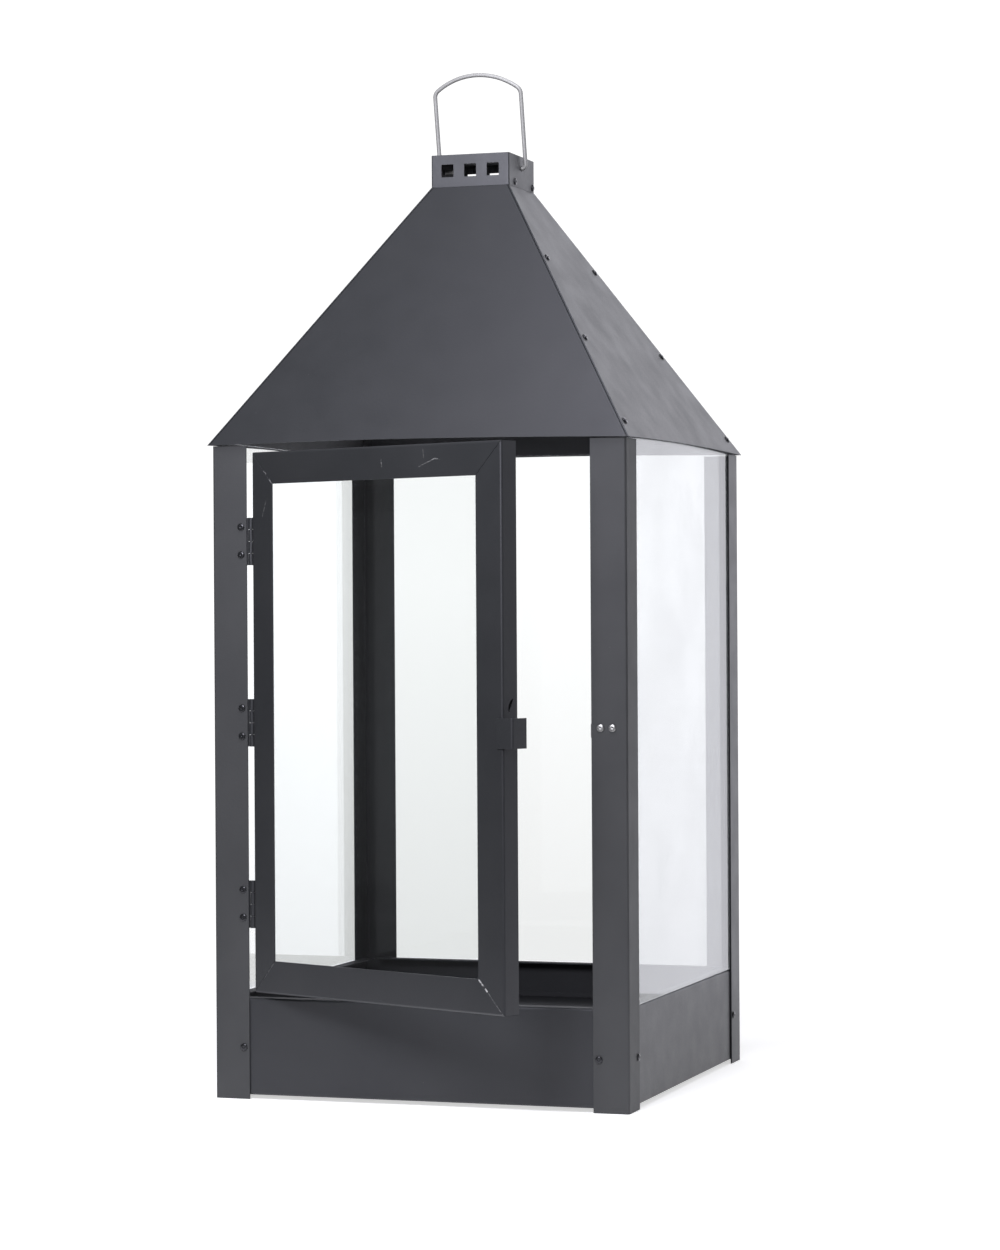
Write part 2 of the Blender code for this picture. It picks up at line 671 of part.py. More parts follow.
def make_catch(steel, parent):
    """A sprung strip behind the post whose nose stands past the post's edge."""
    edge = HALF - POST_LEG
    back = FRONT + SHEET + GAP
    nose = edge - CATCH_NOSE_REACH
    root_of_nose = edge + 0.0010
    nose_depth, tail_depth = 0.0035, 0.0080
    low, high = CATCH_HEIGHT - CATCH_WIDTH / 2, CATCH_HEIGHT + CATCH_WIDTH / 2
    corners = [
        (CATCH_FAR_END, back), (root_of_nose, back),
        (nose, back + nose_depth), (root_of_nose, back + tail_depth),
    ]
    outline = folded([Vector((-x, y)) for x, y in corners], CATCH_SHEET, radius=2 * CATCH_SHEET, steps=3)

    def place(height):
        return lambda p: Vector((-p.x, p.y, height))

    build = bmesh.new()
    add_strip(build, extruded(outline, place(low), place(high)))
    catch = add_object("catch_spring", build, steel, parent)
    combine(catch, rivet_hole_tool(catch_rivet_axes()), "DIFFERENCE", parent)


# Rivets ------------------------------------------------------------------------------------------

def rivet_mesh(grip, finish):
    """A blind rivet along Z: its head stands on z = 0 and grips that much sheet."""
    dome = RIVET_HEAD_HEIGHT
    profile = [
        (0, GAP + dome),
        (RIVET_HEAD_RADIUS * 0.60, GAP + dome * 0.80),
        (RIVET_HEAD_RADIUS, GAP + dome * 0.20),
        (RIVET_HEAD_RADIUS, GAP),
        (RIVET_SHANK_RADIUS, GAP),
        (RIVET_SHANK_RADIUS, -grip - GAP),
        (RIVET_TAIL_RADIUS, -grip - GAP),
        (RIVET_TAIL_RADIUS * 0.8, -grip - GAP - RIVET_TAIL_LENGTH),
        (0, -grip - GAP - RIVET_TAIL_LENGTH),
    ]
    build = turned(profile, RIVET_SIDES)
    bmesh.ops.recalc_face_normals(build, faces=build.faces)
    mesh = bpy.data.meshes.new("rivet")
    build.to_mesh(mesh)
    build.free()
    mesh.materials.append(finish)
    mesh.shade_smooth()
    mesh.set_sharp_from_angle(angle=math.radians(50))
    return mesh


def place_rivets(prefix, axes, mesh, parent):
    for k, (point, outward) in enumerate(axes, start=1):
        rivet = bpy.data.objects.new(f"{prefix}_{k:02d}", mesh)
        bpy.context.scene.collection.objects.link(rivet)
        rivet.parent = parent
        rivet.location = point
        rivet.rotation_mode = "QUATERNION"
        rivet.rotation_quaternion = outward.to_track_quat("Z", "Y")


def make_rivets(finish, bright, parent):
    two_sheets = rivet_mesh(2 * SHEET + GAP, finish)
    roof_sheets = rivet_mesh(2 * SHEET + 2 * GAP, finish)
    catch_sheets = rivet_mesh(SHEET + GAP + CATCH_SHEET, bright)
    place_rivets("base_rivet", rivet_axes(), two_sheets, parent)
    place_rivets("roof_rivet", roof_rivet_axes(1) + roof_rivet_axes(-1), roof_sheets, parent)
    place_rivets("catch_rivet", catch_rivet_axes(), catch_sheets, parent)


def make_empty(name, location, parent=None, rotation=(0, 0, 0)):
    empty = bpy.data.objects.new(name, None)
    bpy.context.scene.collection.objects.link(empty)
    empty.parent = parent
    empty.location = location
    empty.rotation_euler = rotation
    return empty


def main():
    clear_scene()
    coated = material("black_powder_coat", (0.045, 0.046, 0.050), 0.45, 0.0)
    inner = material("black_powder_coat_inside", (0.030, 0.031, 0.034), 0.55, 0.0)
    wire = material("galvanised_wire", (0.62, 0.62, 0.60), 0.30, 1.0)
    zinc = material("zinc_plated_steel", (0.50, 0.50, 0.50), 0.35, 1.0)
    glass = material("clear_glass", (0.95, 0.97, 0.97), 0.02, 0.0, alpha=0.25)

    body = make_empty("lantern_body", (0, -footprint_middle(), 0))
    door = make_empty("door_hinge_axis", (HINGE_X, HINGE_Y, 0), body, (0, 0, -AJAR))
    bail = make_empty("bail_axis", (0, 0, BAIL_PIVOT_HEIGHT), body, (math.radians(BAIL_LEAN), 0, 0))

    make_posts(coated, body)
    make_skirts(coated, body)
    make_tray(inner, body)
    make_panes(glass, body)
    make_roof(coated, body)
    make_chimney(coated, body)
    make_bail(wire, bail)
    make_door_frame(coated, door)
    make_door_glass(glass, inner, door)
    make_hinges(coated, zinc, body, door)
    make_latch(coated, door)
    make_catch(zinc, body)
    make_rivets(coated, zinc, body)


main()
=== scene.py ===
"""Looks of the glazed lantern: satin powder coat, clear panes, zinc-plated catch and a wire bail.

Metres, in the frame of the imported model.  The body is square, and its door is hung on the left.
"""

import json
import math

import bmesh
import bpy
from mathutils import Matrix, Vector


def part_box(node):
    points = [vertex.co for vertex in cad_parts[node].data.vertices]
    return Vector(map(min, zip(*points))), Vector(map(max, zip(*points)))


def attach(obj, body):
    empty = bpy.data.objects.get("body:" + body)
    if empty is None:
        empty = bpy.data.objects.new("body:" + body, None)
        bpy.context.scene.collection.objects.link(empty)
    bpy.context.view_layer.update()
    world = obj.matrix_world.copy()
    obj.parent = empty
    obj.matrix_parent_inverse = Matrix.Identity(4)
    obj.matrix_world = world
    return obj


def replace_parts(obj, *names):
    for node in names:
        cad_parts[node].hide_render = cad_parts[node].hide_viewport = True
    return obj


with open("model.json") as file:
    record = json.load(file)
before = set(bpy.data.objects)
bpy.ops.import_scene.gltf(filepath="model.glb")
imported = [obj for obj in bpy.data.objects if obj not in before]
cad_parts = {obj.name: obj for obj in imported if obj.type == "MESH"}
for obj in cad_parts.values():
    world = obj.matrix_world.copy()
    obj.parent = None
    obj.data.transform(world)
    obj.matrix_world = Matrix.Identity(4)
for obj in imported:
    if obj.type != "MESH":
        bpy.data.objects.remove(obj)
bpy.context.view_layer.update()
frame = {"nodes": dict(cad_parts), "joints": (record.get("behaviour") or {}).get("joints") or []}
NODES = frame["nodes"]
JOINTS = {joint["name"]: joint for joint in frame["joints"]}

# Sizes of what the visual model adds, metres.
RIVET_HEAD_RADIUS = 0.0030
RIVET_HEAD_HEIGHT = 0.0012
RIVET_LENGTH = 0.0050
SHEET = 0.0012
HINGE_RIVET_OFFSETS = (0.0118, -0.0108)     # from a hinge's middle, up and down
HINGE_RIVET_FROM_PIN = 0.0083
CAP_RIVET_ABOVE_EDGE = 0.0042
CAP_RIVET_FROM_FRONT = 0.0160
CAP_RIVET_FROM_BACK = 0.0050
CATCH_RIVET_LENGTH = RIVET_LENGTH * 0.6

# How far edges are rounded, metres, and from which angle between two faces.
EDGE_ROUNDING = 0.00018
SKIRT_ROUNDING = 0.00008
PANE_ROUNDING = 0.0004
SMALL_ROUNDING = 0.00010
ROUNDED_FROM_ANGLE = 40
WELD_DISTANCE = 0.00001

# Camera: where it stands from the body's middle, and how it is turned.
CAMERA_FROM_MIDDLE = Vector((0.92883, -2.77641, 0.39116))
CAMERA_YAW = 18.26
CAMERA_PITCH = -0.16
CAMERA_ROLL = -0.33
CAMERA_LENS = 99.71
CAMERA_SENSOR = 36.0


# Small helpers ------------------------------------------------------------------------------------

def body_middle():
    """The middle of the square body on the ground, between two opposite corner posts."""
    low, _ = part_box("post_front_left")
    _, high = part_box("post_back_right")
    return Vector(((low.x + high.x) / 2, (low.y + high.y) / 2, 0.0))


MIDDLE = body_middle()


def new_object(name, build, finish, smooth_angle=35):
    """An object from a finished bmesh, smooth but for its sharp edges."""
    bmesh.ops.recalc_face_normals(build, faces=build.faces)
    mesh = bpy.data.meshes.new(name)
    build.to_mesh(mesh)
    build.free()
    mesh.materials.append(finish)
    mesh.shade_smooth()
    mesh.set_sharp_from_angle(angle=math.radians(smooth_angle))
    made = bpy.data.objects.new(name, mesh)
    bpy.context.scene.collection.objects.link(made)
    return made


class Tree:
    """Short calls that build one node tree."""

    def __init__(self, owner):
        owner.use_nodes = True
        self.tree = owner.node_tree
        self.tree.nodes.clear()

    def add(self, kind, inputs=None, **settings):
        """One node.  An input's value is either a plain value or another node's output socket."""
        made = self.tree.nodes.new(kind)
        for name, value in settings.items():
            setattr(made, name, value)
        for key, value in (inputs or {}).items():
            if isinstance(value, bpy.types.NodeSocket):
                self.tree.links.new(value, made.inputs[key])
            else:
                made.inputs[key].default_value = value
        return made

    def math(self, operation, *values):
        made = self.add("ShaderNodeMath", dict(enumerate(values)), operation=operation)
        return made.outputs[0]

    def vector(self, operation, *values, output=0):
        made = self.add("ShaderNodeVectorMath", dict(enumerate(values)), operation=operation)
        return made.outputs[output]

    def noise(self, place, scale, detail=2.0, roughness=0.5):
        made = self.add("ShaderNodeTexNoise", {
            "Vector": place, "Scale": scale, "Detail": detail, "Roughness": roughness,
        })
        return made.outputs["Fac"]

    def ramp(self, value, from_low, from_high, to_low, to_high):
        made = self.add("ShaderNodeMapRange", {
            "Value": value, "From Min": from_low, "From Max": from_high,
            "To Min": to_low, "To Max": to_high,
        })
        return made.outputs["Result"]

    def blend_colour(self, share, first, second):
        made = self.add("ShaderNodeMix", {0: share, 6: first, 7: second}, data_type="RGBA")
        return made.outputs[2]

    def bump(self, height, strength, distance, normal=None):
        inputs = {"Height": height, "Strength": strength, "Distance": distance}
        if normal is not None:
            inputs["Normal"] = normal
        return self.add("ShaderNodeBump", inputs).outputs["Normal"]


def grey(value, warmth=0.0):
    """An RGBA grey; warmth shifts it from cool to warm."""
    return (value * (1 + warmth), value, value * (1 - warmth), 1.0)


# Materials ----------------------------------------------------------------------------------------

# Powder coat.  One coat serves most pieces; the others' shade or gloss is fitted to the photograph's look.
COAT_SHADE = 0.024
COAT_ROUGHNESS = 0.47
COAT_IOR = 1.5
COAT_COOLNESS = 0.07             # how far its colour is off grey, towards blue
COAT_SHEEN_TINT = (0.97, 0.96, 1.06, 1.0)
DUST_SHADE = 0.16
# Painted shade: the door's coat is a little darker than the main coat; its worn marks are real wear.
DOOR_PAINTED_SHADE = COAT_SHADE * 0.95
# Painted light: the front posts' coat is 2.2 times as light as the main coat, for the light on their
# faces.
POST_PAINTED_LIGHT_SHADE = COAT_SHADE * 2.2
POST_COAT_ROUGHNESS = COAT_ROUGHNESS + 0.13
POST_COAT_IOR = 1.36
POST_COAT_COOLNESS = 0.03
# Painted light: the chimney cap's coat is 1.7 times as light as the main coat.
CAP_PAINTED_LIGHT_SHADE = COAT_SHADE * 1.7
# Painted shade: the inside faces, the skirts' lips, the floor tray and the glass strips get a coat half as
# light as the main one.
INSIDE_PAINTED_SHADE = COAT_SHADE * 0.5
DARK_COAT_ROUGHNESS = COAT_ROUGHNESS + 0.20
# Painted shade: the rivets' coat is half as light as the main coat, and glossier.
RIVET_PAINTED_SHADE = COAT_SHADE * 0.5
RIVET_COAT_ROUGHNESS = COAT_ROUGHNESS - 0.20
# How often the coat's patterns repeat in a metre.
CLOUDS = 14.0
FINE_PEEL = 650.0
COARSE_PEEL = 420.0
GLOSS_PATCHES = 40.0
DUST_FLECKS = 90.0
DUSTY_PATCHES = 55.0


def powder_coat(name, shade, roughness, marks=(), ior=COAT_IOR, coolness=COAT_COOLNESS):
    """Satin powder coat: fine orange peel, a faint cloudiness, stray dust, and any listed worn marks.

    A mark is (start, end, width, brightness): a short scratch or chipped seam, paler than the coat.
    """
    made = bpy.data.materials.new(name)
    tree = Tree(made)
    place = tree.add("ShaderNodeTexCoord").outputs["Object"]
    cloud = tree.noise(place, CLOUDS, 4.0)
    fine = tree.noise(place, FINE_PEEL, 3.0)
    colour = tree.blend_colour(tree.ramp(cloud, 0.3, 0.7, 0.0, 1.0),
                               grey(shade * 0.90, -coolness), grey(shade * 1.10, -0.75 * coolness))
    flecks = tree.add("ShaderNodeTexVoronoi", {"Vector": place, "Scale": DUST_FLECKS})
    dusty_patch = tree.math("GREATER_THAN", tree.noise(place, DUSTY_PATCHES, 1.0), 0.62)
    fleck = tree.ramp(flecks.outputs["Distance"], 0.010, 0.030, 0.5, 0.0)
    colour = tree.blend_colour(tree.math("MULTIPLY", fleck, dusty_patch), colour, grey(DUST_SHADE))
    for start, end, width, brightness in marks:
        worn = worn_line(tree, place, start, end, width)
        colour = tree.blend_colour(worn, colour, grey(brightness))
    patches = tree.noise(place, GLOSS_PATCHES, 5.0)
    gloss = tree.ramp(patches, 0.3, 0.7, roughness - 0.03, roughness + 0.03)
    gloss = tree.math("ADD", gloss, tree.ramp(fine, 0.3, 0.7, -0.02, 0.02))
    peel = tree.bump(tree.noise(place, COARSE_PEEL, 2.0), 0.10, 0.0004)
    normal = tree.bump(fine, 0.12, 0.0002, peel)
    shader = tree.add("ShaderNodeBsdfPrincipled", {
        "Base Color": colour, "Roughness": gloss, "Normal": normal, "IOR": ior,
        "Specular Tint": COAT_SHEEN_TINT,
    })
    tree.add("ShaderNodeOutputMaterial", {"Surface": shader.outputs[0]})
    return made


def worn_line(tree, place, start, end, width):
    """1 on a ragged line between two points, 0 away from it."""
    along = Vector(end) - Vector(start)
    from_start = tree.vector("SUBTRACT", place, tuple(start))
    progress = tree.vector("DOT_PRODUCT", from_start, tuple(along), output=1)
    share = tree.math("DIVIDE", progress, along.length_squared)
    share = tree.math("MINIMUM", tree.math("MAXIMUM", share, 0.0), 1.0)
    nearest = tree.add("ShaderNodeVectorMath", {0: tuple(along), "Scale": share}, operation="SCALE")
    away = tree.vector("LENGTH", tree.vector("SUBTRACT", from_start, nearest.outputs[0]), output=1)
    line = tree.ramp(away, width * 0.4, width, 1.0, 0.0)
    ragged = tree.ramp(tree.noise(place, 1 / (2.5 * width), 3.0), 0.42, 0.58, 0.0, 1.0)
    return tree.math("MULTIPLY", line, ragged)


WIRE_METAL = {"shade": 0.40, "roughness": 0.66, "stretch": 0.1, "metallic": 0.6}
PLATED_METAL = {"shade": 0.42, "roughness": 0.40, "stretch": 1.0, "metallic": 1.0}
# How often the metals' patterns repeat in a metre.
DRAW_LINES = 1800.0
SPANGLE = 260.0


def bare_metal(name, shade, roughness, stretch, metallic):
    """Galvanised or zinc-plated steel, with spangle and a fine grain.

    A stretch below 1 draws the grain out along Z.
    """
    made = bpy.data.materials.new(name)
    tree = Tree(made)
    place = tree.add("ShaderNodeTexCoord").outputs["Object"]
    drawn = tree.vector("MULTIPLY", place, (1.0, 1.0, stretch))
    lines = tree.noise(drawn, DRAW_LINES, 3.0)
    spangle = tree.noise(place, SPANGLE, 4.0)
    colour = tree.blend_colour(spangle, grey(shade * 0.86, 0.01), grey(shade * 1.08, 0.0))
    gloss = tree.ramp(lines, 0.3, 0.7, roughness - 0.06, roughness + 0.06)
    normal = tree.bump(lines, 0.15, 0.0001)
    shader = tree.add("ShaderNodeBsdfPrincipled", {
        "Base Color": colour, "Roughness": gloss, "Metallic": metallic, "Normal": normal,
    })
    tree.add("ShaderNodeOutputMaterial", {"Surface": shader.outputs[0]})
    return made


GLASS_TINT = (0.990, 0.997, 0.996)
GLASS_MIRROR_HEAD_ON = 0.04      # what one surface mirrors of a ray that meets it head on
GLASS_MIRROR_RISE = 5.0          # the power in Schlick's rule for shallower rays
GLASS_ROUGHNESS = 0.02
# How much of one surface a film of dust covers, seen head on.
CLEAN_FILM = 0.002
DUSTY_FILM = 0.060
FILM_SHADE = 0.50
SMUDGES = 7.0                    # how often they repeat in a metre
SHALLOWEST = 0.12                # the film gets no denser beyond this cosine
# The fixed panes let less through towards their foot.  Below the lower height one surface lets through the
# lower share, which rises to clear at the upper height.
CLEAR = 1.0
FOOT_CLARITY = 0.91
DIMMING_TOP = 0.42
DIMMING_BOTTOM = 0.10


def pane_glass(name, film_share, lowest_clarity):
    """Clear float glass; at a shallow angle its surfaces mirror more and its dust film looks denser."""
    made = bpy.data.materials.new(name)
    tree = Tree(made)
    place = tree.add("ShaderNodeTexCoord").outputs["Object"]
    shallow = tree.add("ShaderNodeLayerWeight", {"Blend": 0.5}).outputs["Facing"]
    mirrored = tree.math("MULTIPLY_ADD", tree.math("POWER", shallow, GLASS_MIRROR_RISE),
                         1 - GLASS_MIRROR_HEAD_ON, GLASS_MIRROR_HEAD_ON)
    height = tree.add("ShaderNodeSeparateXYZ", {0: place}).outputs["Z"]
    clarity = tree.ramp(height, DIMMING_BOTTOM, DIMMING_TOP, lowest_clarity, 1.0)
    tint = tree.add("ShaderNodeVectorMath", {0: GLASS_TINT, "Scale": clarity}, operation="SCALE")
    smudges = tree.ramp(tree.noise(place, SMUDGES, 5.0, 0.6), 0.3, 0.7, 0.85, 1.15)
    facing = tree.math("MAXIMUM", tree.math("SUBTRACT", 1.0, shallow), SHALLOWEST)
    film = tree.math("DIVIDE", tree.math("MULTIPLY", smudges, film_share), facing)
    clear = tree.add("ShaderNodeBsdfTransparent", {"Color": tint.outputs[0]})
    mirror = tree.add("ShaderNodeBsdfGlossy", {"Color": grey(1.0), "Roughness": GLASS_ROUGHNESS})
    dust = tree.add("ShaderNodeBsdfDiffuse", {"Color": grey(FILM_SHADE, -0.03)})
    glass = tree.add("ShaderNodeMixShader", {0: mirrored, 1: clear.outputs[0], 2: mirror.outputs[0]})
    dusty = tree.add("ShaderNodeMixShader", {0: film, 1: glass.outputs[0], 2: dust.outputs[0]})
    tree.add("ShaderNodeOutputMaterial", {"Surface": dusty.outputs[0]})
    return made


# Pieces -------------------------------------------------------------------------------------------

# Which faces of a sheet count as facing inwards or upwards, and so take the darker coat of painted shade:
# the least cosine.
FACES_INWARD = 0.3
FACES_UPWARD = 0.9


def dress(node, finish, rounding=EDGE_ROUNDING):
    """Gives a CAD node its finish, and rounds its edges as a coat or a seamed edge does."""
    piece = NODES[node]
    piece.data.materials.clear()
    piece.data.materials.append(finish)
    piece.data.normals_split_custom_set([(0.0, 0.0, 0.0)] * len(piece.data.loops))
    piece.data.shade_smooth()
    for edge in piece.data.edges:
        edge.use_edge_sharp = False
    weld = piece.modifiers.new("Weld", "WELD")
    weld.merge_threshold = WELD_DISTANCE
    rounded = piece.modifiers.new("Bevel", "BEVEL")
    rounded.width = rounding
    rounded.segments = 2
    rounded.limit_method = "ANGLE"
    rounded.angle_limit = math.radians(ROUNDED_FROM_ANGLE)
    weighted = piece.modifiers.new("Weighted Normal", "WEIGHTED_NORMAL")
    weighted.mode = "FACE_AREA"
    weighted.weight = 100


def shade_inside_faces(node, finish):
    """A darker, rougher coat, painted shade, for a sheet's faces that look towards the middle and for a
    skirt's upward lip.
    """
    mesh = NODES[node].data
    mesh.materials.append(finish)
    for face in mesh.polygons:
        inward = MIDDLE - face.center
        along = face.normal.x * inward.x + face.normal.y * inward.y
        lip = node.startswith("skirt_") and face.normal.z > FACES_UPWARD
        if lip or along > FACES_INWARD * Vector(inward.xy).length:
            face.material_index = 1


def rivet_bmesh(length=RIVET_LENGTH, sides=32):
    """A blind rivet along Z: a domed head on z = 0, the broken stem sunk in its middle, and a shank."""
    radius, height = RIVET_HEAD_RADIUS, RIVET_HEAD_HEIGHT
    stem, shank = radius * 0.30, radius * 0.5
    stem_well = stem * 1.3
    # The half section as (reach, up), from the top: broken stem, dome, rim and shank.
    profile = [
        (0.0, height * 0.62), (stem * 0.85, height * 0.62),
        (stem, height * 0.70), (stem * 1.15, height * 0.98),
    ]
    steps = 7
    for k in range(steps + 1):
        angle = math.pi / 2 * k / steps
        reach = stem_well + (radius - stem_well) * math.sin(angle)
        profile.append((reach, height * (0.25 + 0.75 * math.cos(angle))))
    profile += [
        (radius, height * 0.06), (radius * 0.97, 0.0),
        (shank, 0.0), (shank, -length), (0.0, -length),
    ]
    build = bmesh.new()
    rings = []
    for reach, up in profile:
        count = 1 if reach == 0.0 else sides
        ring = []
        for k in range(count):
            angle = 2 * math.pi * k / sides
            ring.append(build.verts.new((reach * math.cos(angle), reach * math.sin(angle), up)))
        rings.append(ring)
    for first, second in zip(rings, rings[1:]):
        for k in range(sides):
            n = (k + 1) % sides
            if len(first) == 1:
                build.faces.new((first[0], second[k], second[n]))
            elif len(second) == 1:
                build.faces.new((first[k], first[n], second[0]))
            else:
                build.faces.new((first[k], first[n], second[n], second[k]))
    return build


def make_rivet(name, point, outward, finish, length=RIVET_LENGTH):
    """A rivet whose head stands on a point of a face."""
    build = rivet_bmesh(length)
    turn = Vector(outward).to_track_quat("Z", "Y").to_matrix().to_4x4()
    bmesh.ops.transform(build, matrix=Matrix.Translation(point) @ turn, verts=build.verts)
    rivet = new_object(name, build, finish, smooth_angle=50)
    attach(rivet, "lantern_body")
    return rivet


def roof_outward(side):
    """Outward direction of the right (1) or left (-1) roof sheet."""
    sheet_low, sheet_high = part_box("roof_right")
    cap_low, cap_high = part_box("chimney_cap")
    run, drop = sheet_high.x - cap_high.x, cap_low.z - sheet_low.z
    return Vector((side * drop, 0, run)).normalized()


def outward_of(node):
    """Which way a CAD rivet's head faces."""
    low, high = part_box(node)
    centre = (low + high) / 2 - MIDDLE
    if node.startswith("roof"):
        return roof_outward(math.copysign(1, centre.x))
    if node.startswith("catch"):
        return Vector((0, -1, 0))
    if abs(centre.x) > abs(centre.y):
        return Vector((math.copysign(1, centre.x), 0, 0))
    return Vector((0, math.copysign(1, centre.y), 0))


def replace_rivets(coated, plated):
    """Finer rivets in the places of the CAD ones."""
    for node in sorted(n for n in NODES if "_rivet_" in n):
        outward = outward_of(node)
        points = [v.co for v in NODES[node].data.vertices]
        middle = sum(points, Vector()) / len(points)
        top = max(outward.dot(p) for p in points)
        foot = middle + outward * (top - outward.dot(middle) - RIVET_HEAD_HEIGHT)
        bright = node.startswith("catch")
        finish, slot = (plated, "zinc_steel") if bright else (coated, "black_coat")
        length = CATCH_RIVET_LENGTH if bright else RIVET_LENGTH
        name = node.replace("_rivet_", "_blind_rivet_")
        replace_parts(make_rivet(name, foot, outward, finish, length), node)


def add_hinge_rivets(coated):
    """Two rivets through the post at each hinge."""
    post_low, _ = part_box("post_front_left")
    for label in ("bottom", "middle", "top"):
        low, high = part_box(f"hinge_{label}_pin")
        pin = (low + high) / 2
        for number, offset in enumerate(HINGE_RIVET_OFFSETS, start=1):
            foot = Vector((pin.x - HINGE_RIVET_FROM_PIN, post_low.y, pin.z + offset))
            name = f"hinge_{label}_rivet_{number}"
            make_rivet(name, foot, (0, -1, 0), coated, 2 * SHEET)


def add_cap_rivets(coated):
    """Two rivets low on each side wall of the chimney cap."""
    low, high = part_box("chimney_cap")
    height = low.z + CAP_RIVET_ABOVE_EDGE
    for side, wall in (("right", high.x), ("left", low.x)):
        outward = Vector((math.copysign(1, wall - MIDDLE.x), 0, 0))
        ends = {"front": low.y + CAP_RIVET_FROM_FRONT, "back": high.y - CAP_RIVET_FROM_BACK}
        for end, y in ends.items():
            name = f"cap_rivet_{side}_{end}"
            make_rivet(name, Vector((wall, y, height)), outward, coated, SHEET)


# Bail: the same bent wire as the CAD one, with a rounder section.  Metres from its pivot, and degrees.
BAIL_RADIUS = 0.00175
BAIL_RISE = 0.0800
BAIL_HALF_WIDTH = 0.0380
BAIL_CROWN_RADIUS = 0.0593
BAIL_SHOULDER_RADIUS = 0.0070
BAIL_HOOK_RADIUS = 0.0036
BAIL_END_INSIDE = 0.0085
BAIL_LEAN = 11.5


def arc(centre, radius, start, end, steps):
    """Points on an arc, both ends included."""
    points = []
    for k in range(steps + 1):
        angle = start + (end - start) * k / steps
        points.append((centre[0] + radius * math.cos(angle), centre[1] + radius * math.sin(angle)))
    return points


def bail_route():
    """The wire's centre line as (across, up) from its pivot, from its right end to its left end."""
    cap_low, cap_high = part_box("chimney_cap")
    cap_half = (cap_high.x - cap_low.x) / 2
    across = BAIL_HALF_WIDTH - BAIL_SHOULDER_RADIUS
    rise = math.sqrt((BAIL_CROWN_RADIUS - BAIL_SHOULDER_RADIUS) ** 2 - across ** 2)
    crown = (0.0, BAIL_RISE - BAIL_CROWN_RADIUS)
    turn = math.atan2(rise, across)
    hook = (BAIL_HALF_WIDTH - BAIL_HOOK_RADIUS, BAIL_HOOK_RADIUS)
    right = [(cap_half - BAIL_END_INSIDE, 0.0)]
    right += arc(hook, BAIL_HOOK_RADIUS, -math.pi / 2, 0.0, 10)
    right += arc((across, crown[1] + rise), BAIL_SHOULDER_RADIUS, 0.0, turn, 10)
    right += arc(crown, BAIL_CROWN_RADIUS, turn, math.pi / 2, 24)[1:-1]
    return right + [(0.0, BAIL_RISE)] + [(-x, z) for x, z in reversed(right)]


def make_bail(wire):
    """The bail in its place at rest."""
    curve = bpy.data.curves.new("bail_wire", "CURVE")
    curve.dimensions = "3D"
    curve.bevel_depth = BAIL_RADIUS
    curve.bevel_resolution = 8
    curve.use_fill_caps = True
    route = bail_route()
    spline = curve.splines.new("POLY")
    spline.points.add(len(route) - 1)
    for point, (across, up) in zip(spline.points, route):
        point.co = (across, 0.0, up, 1.0)
    curve.materials.append(wire)
    bail = bpy.data.objects.new("bail_wire", curve)
    bpy.context.scene.collection.objects.link(bail)
    bail.location = JOINTS["bail_swing"]["pos_m"]
    bail.rotation_euler = (math.radians(BAIL_LEAN), 0, 0)
    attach(bail, "bail")
    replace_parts(bail, "bail_handle")


# Door marks ---------------------------------------------------------------------------------------

# The door's face, as in the CAD, from the hinge pins' axis: where it starts, its width and its depth.
HINGE_TO_DOOR = 0.0024
DOOR_WIDTH = 0.2707
DOOR_FACE = -0.0015


def door_point(across, height):
    """A point of the door's face: a share of its width from the hinge, at a height."""
    joint = JOINTS["door_hinge"]
    ajar = -math.radians(joint["range_deg"][1])
    pivot = Vector(joint["pos_m"])
    along = HINGE_TO_DOOR + across * DOOR_WIDTH
    x = along * math.cos(ajar) - DOOR_FACE * math.sin(ajar)
    y = along * math.sin(ajar) + DOOR_FACE * math.cos(ajar)
    return Vector((pivot.x + x, pivot.y + y, height))


def door_marks():
    """Scratches on the top rail, and chipped coat on three of the mitred seams.

    Each is (start, end, width, brightness).
    """
    _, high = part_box("door_rail_top")
    low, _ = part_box("door_rail_bottom")
    top, bottom = high.z, low.z
    scratches = [
        (door_point(0.535, top - 0.0105), door_point(0.537, top - 0.0165), 0.0005, 0.20),
        (door_point(0.685, top - 0.0175), door_point(0.745, top - 0.0118), 0.0004, 0.28),
        (door_point(0.745, top - 0.0118), door_point(0.765, top - 0.0125), 0.0006, 0.22),
        (door_point(0.700, top - 0.0040), door_point(0.703, top - 0.0110), 0.0003, 0.16),
        (door_point(0.060, top - 0.0400), door_point(0.045, top - 0.0520), 0.0004, 0.14),
    ]
    seams = [
        (door_point(0.052, top - 0.0156), door_point(0.060, top - 0.0180), 0.0006, 0.34),
        (door_point(0.072, top - 0.0216), door_point(0.085, top - 0.0255), 0.0007, 0.40),
        (door_point(0.905, bottom + 0.0262), door_point(0.935, bottom + 0.0180), 0.0009, 0.60),
        (door_point(0.935, bottom + 0.0180), door_point(0.995, bottom + 0.0010), 0.0005, 0.22),
        (door_point(0.010, bottom + 0.0030), door_point(0.080, bottom + 0.0245), 0.0004, 0.20),
    ]
    return scratches + seams


# Studio -------------------------------------------------------------------------------------------

BACKGROUND = 1.12                # what the camera sees
LIGHT_TINT = (0.985, 0.985, 1.045, 1.0)
# Soft lobes of light from far away, on top of an even base: direction, tightness, strength.
SKY_BASE = 0.06
SKY = {
    "back": ((0.0, 1.0, 0.0), 4.0, 1.9),
    "back_high": ((0.0, 1.0, 0.6), 8.0, 0.6),
    "back_left": ((-1.0, 0.6, 0.1), 6.0, 0.5),
    "back_right": ((1.0, 0.6, 0.1), 6.0, 0.5),
    "front": ((0.0, -1.0, 0.0), 6.0, 0.27),
}
# Soft boxes, square: place and aim from the body's middle, size, power in watts.
SOFT_BOXES = {
    "key_light": ((-0.04, -1.10, 0.86), (0.0, 0.0, 0.50), 0.42, 11.0),
    "overhead_light": ((0.18, -0.53, 1.40), (0.0, 0.0, 0.55), 0.55, 7.5),
}


